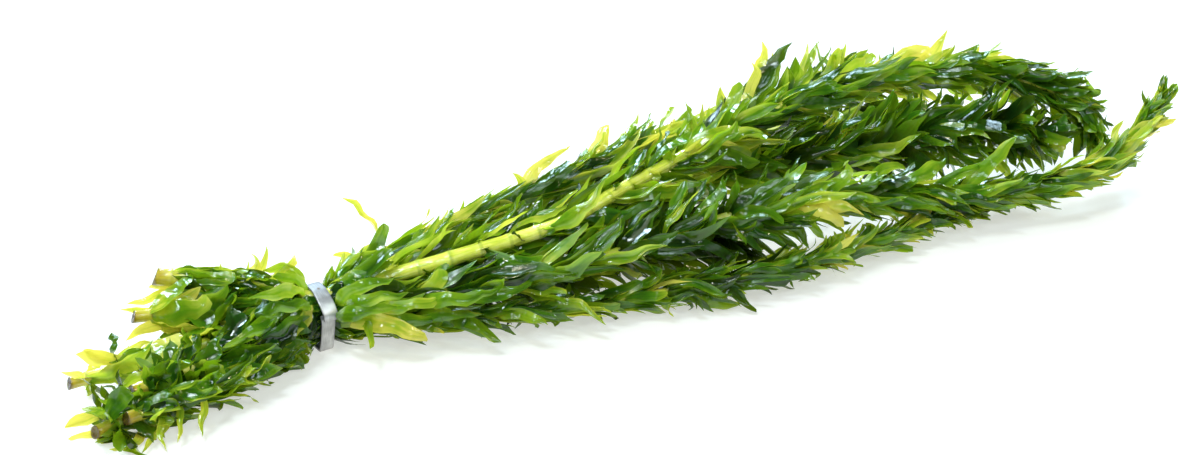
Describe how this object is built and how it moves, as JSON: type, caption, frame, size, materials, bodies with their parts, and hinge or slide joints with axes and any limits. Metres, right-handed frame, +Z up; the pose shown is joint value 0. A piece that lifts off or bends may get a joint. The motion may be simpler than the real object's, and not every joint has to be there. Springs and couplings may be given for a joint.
{
  "type": "brazilian waterweed",
  "caption": "Tied bunch of leafy water plant shoots lying down, fanned out from a bent soft metal strip, with bare cut ends behind it.",
  "frame": {"origin": "centre of the tie strip's flat foot, on the surface that the bunch lies on", "axes": "+X along the bunch from the cut ends to the growing tips, +Z up, +Y away from the side with the bare pale stem"},
  "size_m": [0.2867, 0.0895, 0.0379],
  "materials": {
    "waterweed": "wet translucent green leaf",
    "soft_metal": "dull brushed soft grey metal"
  },
  "bodies": {
    "root": {"shoot_main": "waterweed", "shoot_right": "waterweed", "shoot_front": "waterweed", "shoot_back": "waterweed", "shoot_hook": "waterweed", "shoot_upper": "waterweed", "shoot_low": "waterweed", "tie_strip": "soft_metal"}
  },
  "joints": []
}
